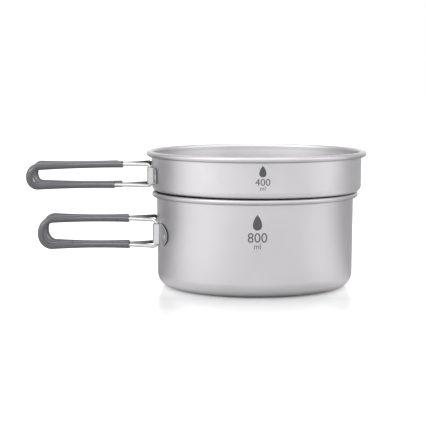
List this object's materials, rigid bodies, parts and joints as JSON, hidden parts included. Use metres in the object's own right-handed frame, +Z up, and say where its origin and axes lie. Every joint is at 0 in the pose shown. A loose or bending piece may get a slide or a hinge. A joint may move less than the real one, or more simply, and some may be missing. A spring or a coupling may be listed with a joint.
{
  "type": "camping cook pot set",
  "caption": "Lightweight camp cook pot with a shallow pan resting on its rim, both with rolled rims and sleeved wire handles that fold around the wall.",
  "frame": {"origin": "centre of the underside of the pot's flat base, on the surface it stands on", "axes": "+Z up out of the pot's mouth; the open handles point to -X; the front handle loops are on the -Y side"},
  "size_m": [0.2242, 0.146, 0.09],
  "materials": {
    "titanium_sheet": "satin, fine blasted titanium",
    "titanium_plate": "satin stamped titanium",
    "spot_weld": "satin, slightly heat-tinted",
    "handle_wire": "polished wire",
    "silicone_sleeve": "matt grey silicone"
  },
  "bodies": {
    "pot": {"pot_body": "titanium_sheet", "pot_bracket": "titanium_plate", "pot_front_weld": "spot_weld", "pot_rear_weld": "spot_weld"},
    "pot_front_handle": {"pot_front_loop": "handle_wire", "pot_front_sleeve": "silicone_sleeve"},
    "pot_rear_handle": {"pot_rear_loop": "handle_wire", "pot_rear_sleeve": "silicone_sleeve"},
    "pan": {"pan_body": "titanium_sheet", "pan_bracket": "titanium_plate", "pan_front_weld": "spot_weld", "pan_rear_weld": "spot_weld"},
    "pan_front_handle": {"pan_front_loop": "handle_wire", "pan_front_sleeve": "silicone_sleeve"},
    "pan_rear_handle": {"pan_rear_loop": "handle_wire", "pan_rear_sleeve": "silicone_sleeve"}
  },
  "joints": [
    {"name": "pan_lift", "type": "slide", "parent": "pot", "child": "pan", "axis": [0, 0, 1], "range_m": [0, 0.06]},
    {"name": "pot_front_handle_fold", "type": "hinge", "parent": "pot", "child": "pot_front_handle", "pos_m": [-0.06483, -0.01437, 0.0359], "axis": [0, 0, 1], "range_deg": [0, 132]},
    {"name": "pot_rear_handle_fold", "type": "hinge", "parent": "pot", "child": "pot_rear_handle", "pos_m": [-0.06483, 0.01437, 0.0359], "axis": [0, 0, -1], "range_deg": [0, 132]},
    {"name": "pan_front_handle_fold", "type": "hinge", "parent": "pan", "child": "pan_front_handle", "pos_m": [-0.06888, -0.01256, 0.07419], "axis": [0, 0, 1], "range_deg": [0, 126]},
    {"name": "pan_rear_handle_fold", "type": "hinge", "parent": "pan", "child": "pan_rear_handle", "pos_m": [-0.06888, 0.01256, 0.07419], "axis": [0, 0, -1], "range_deg": [0, 126]}
  ]
}
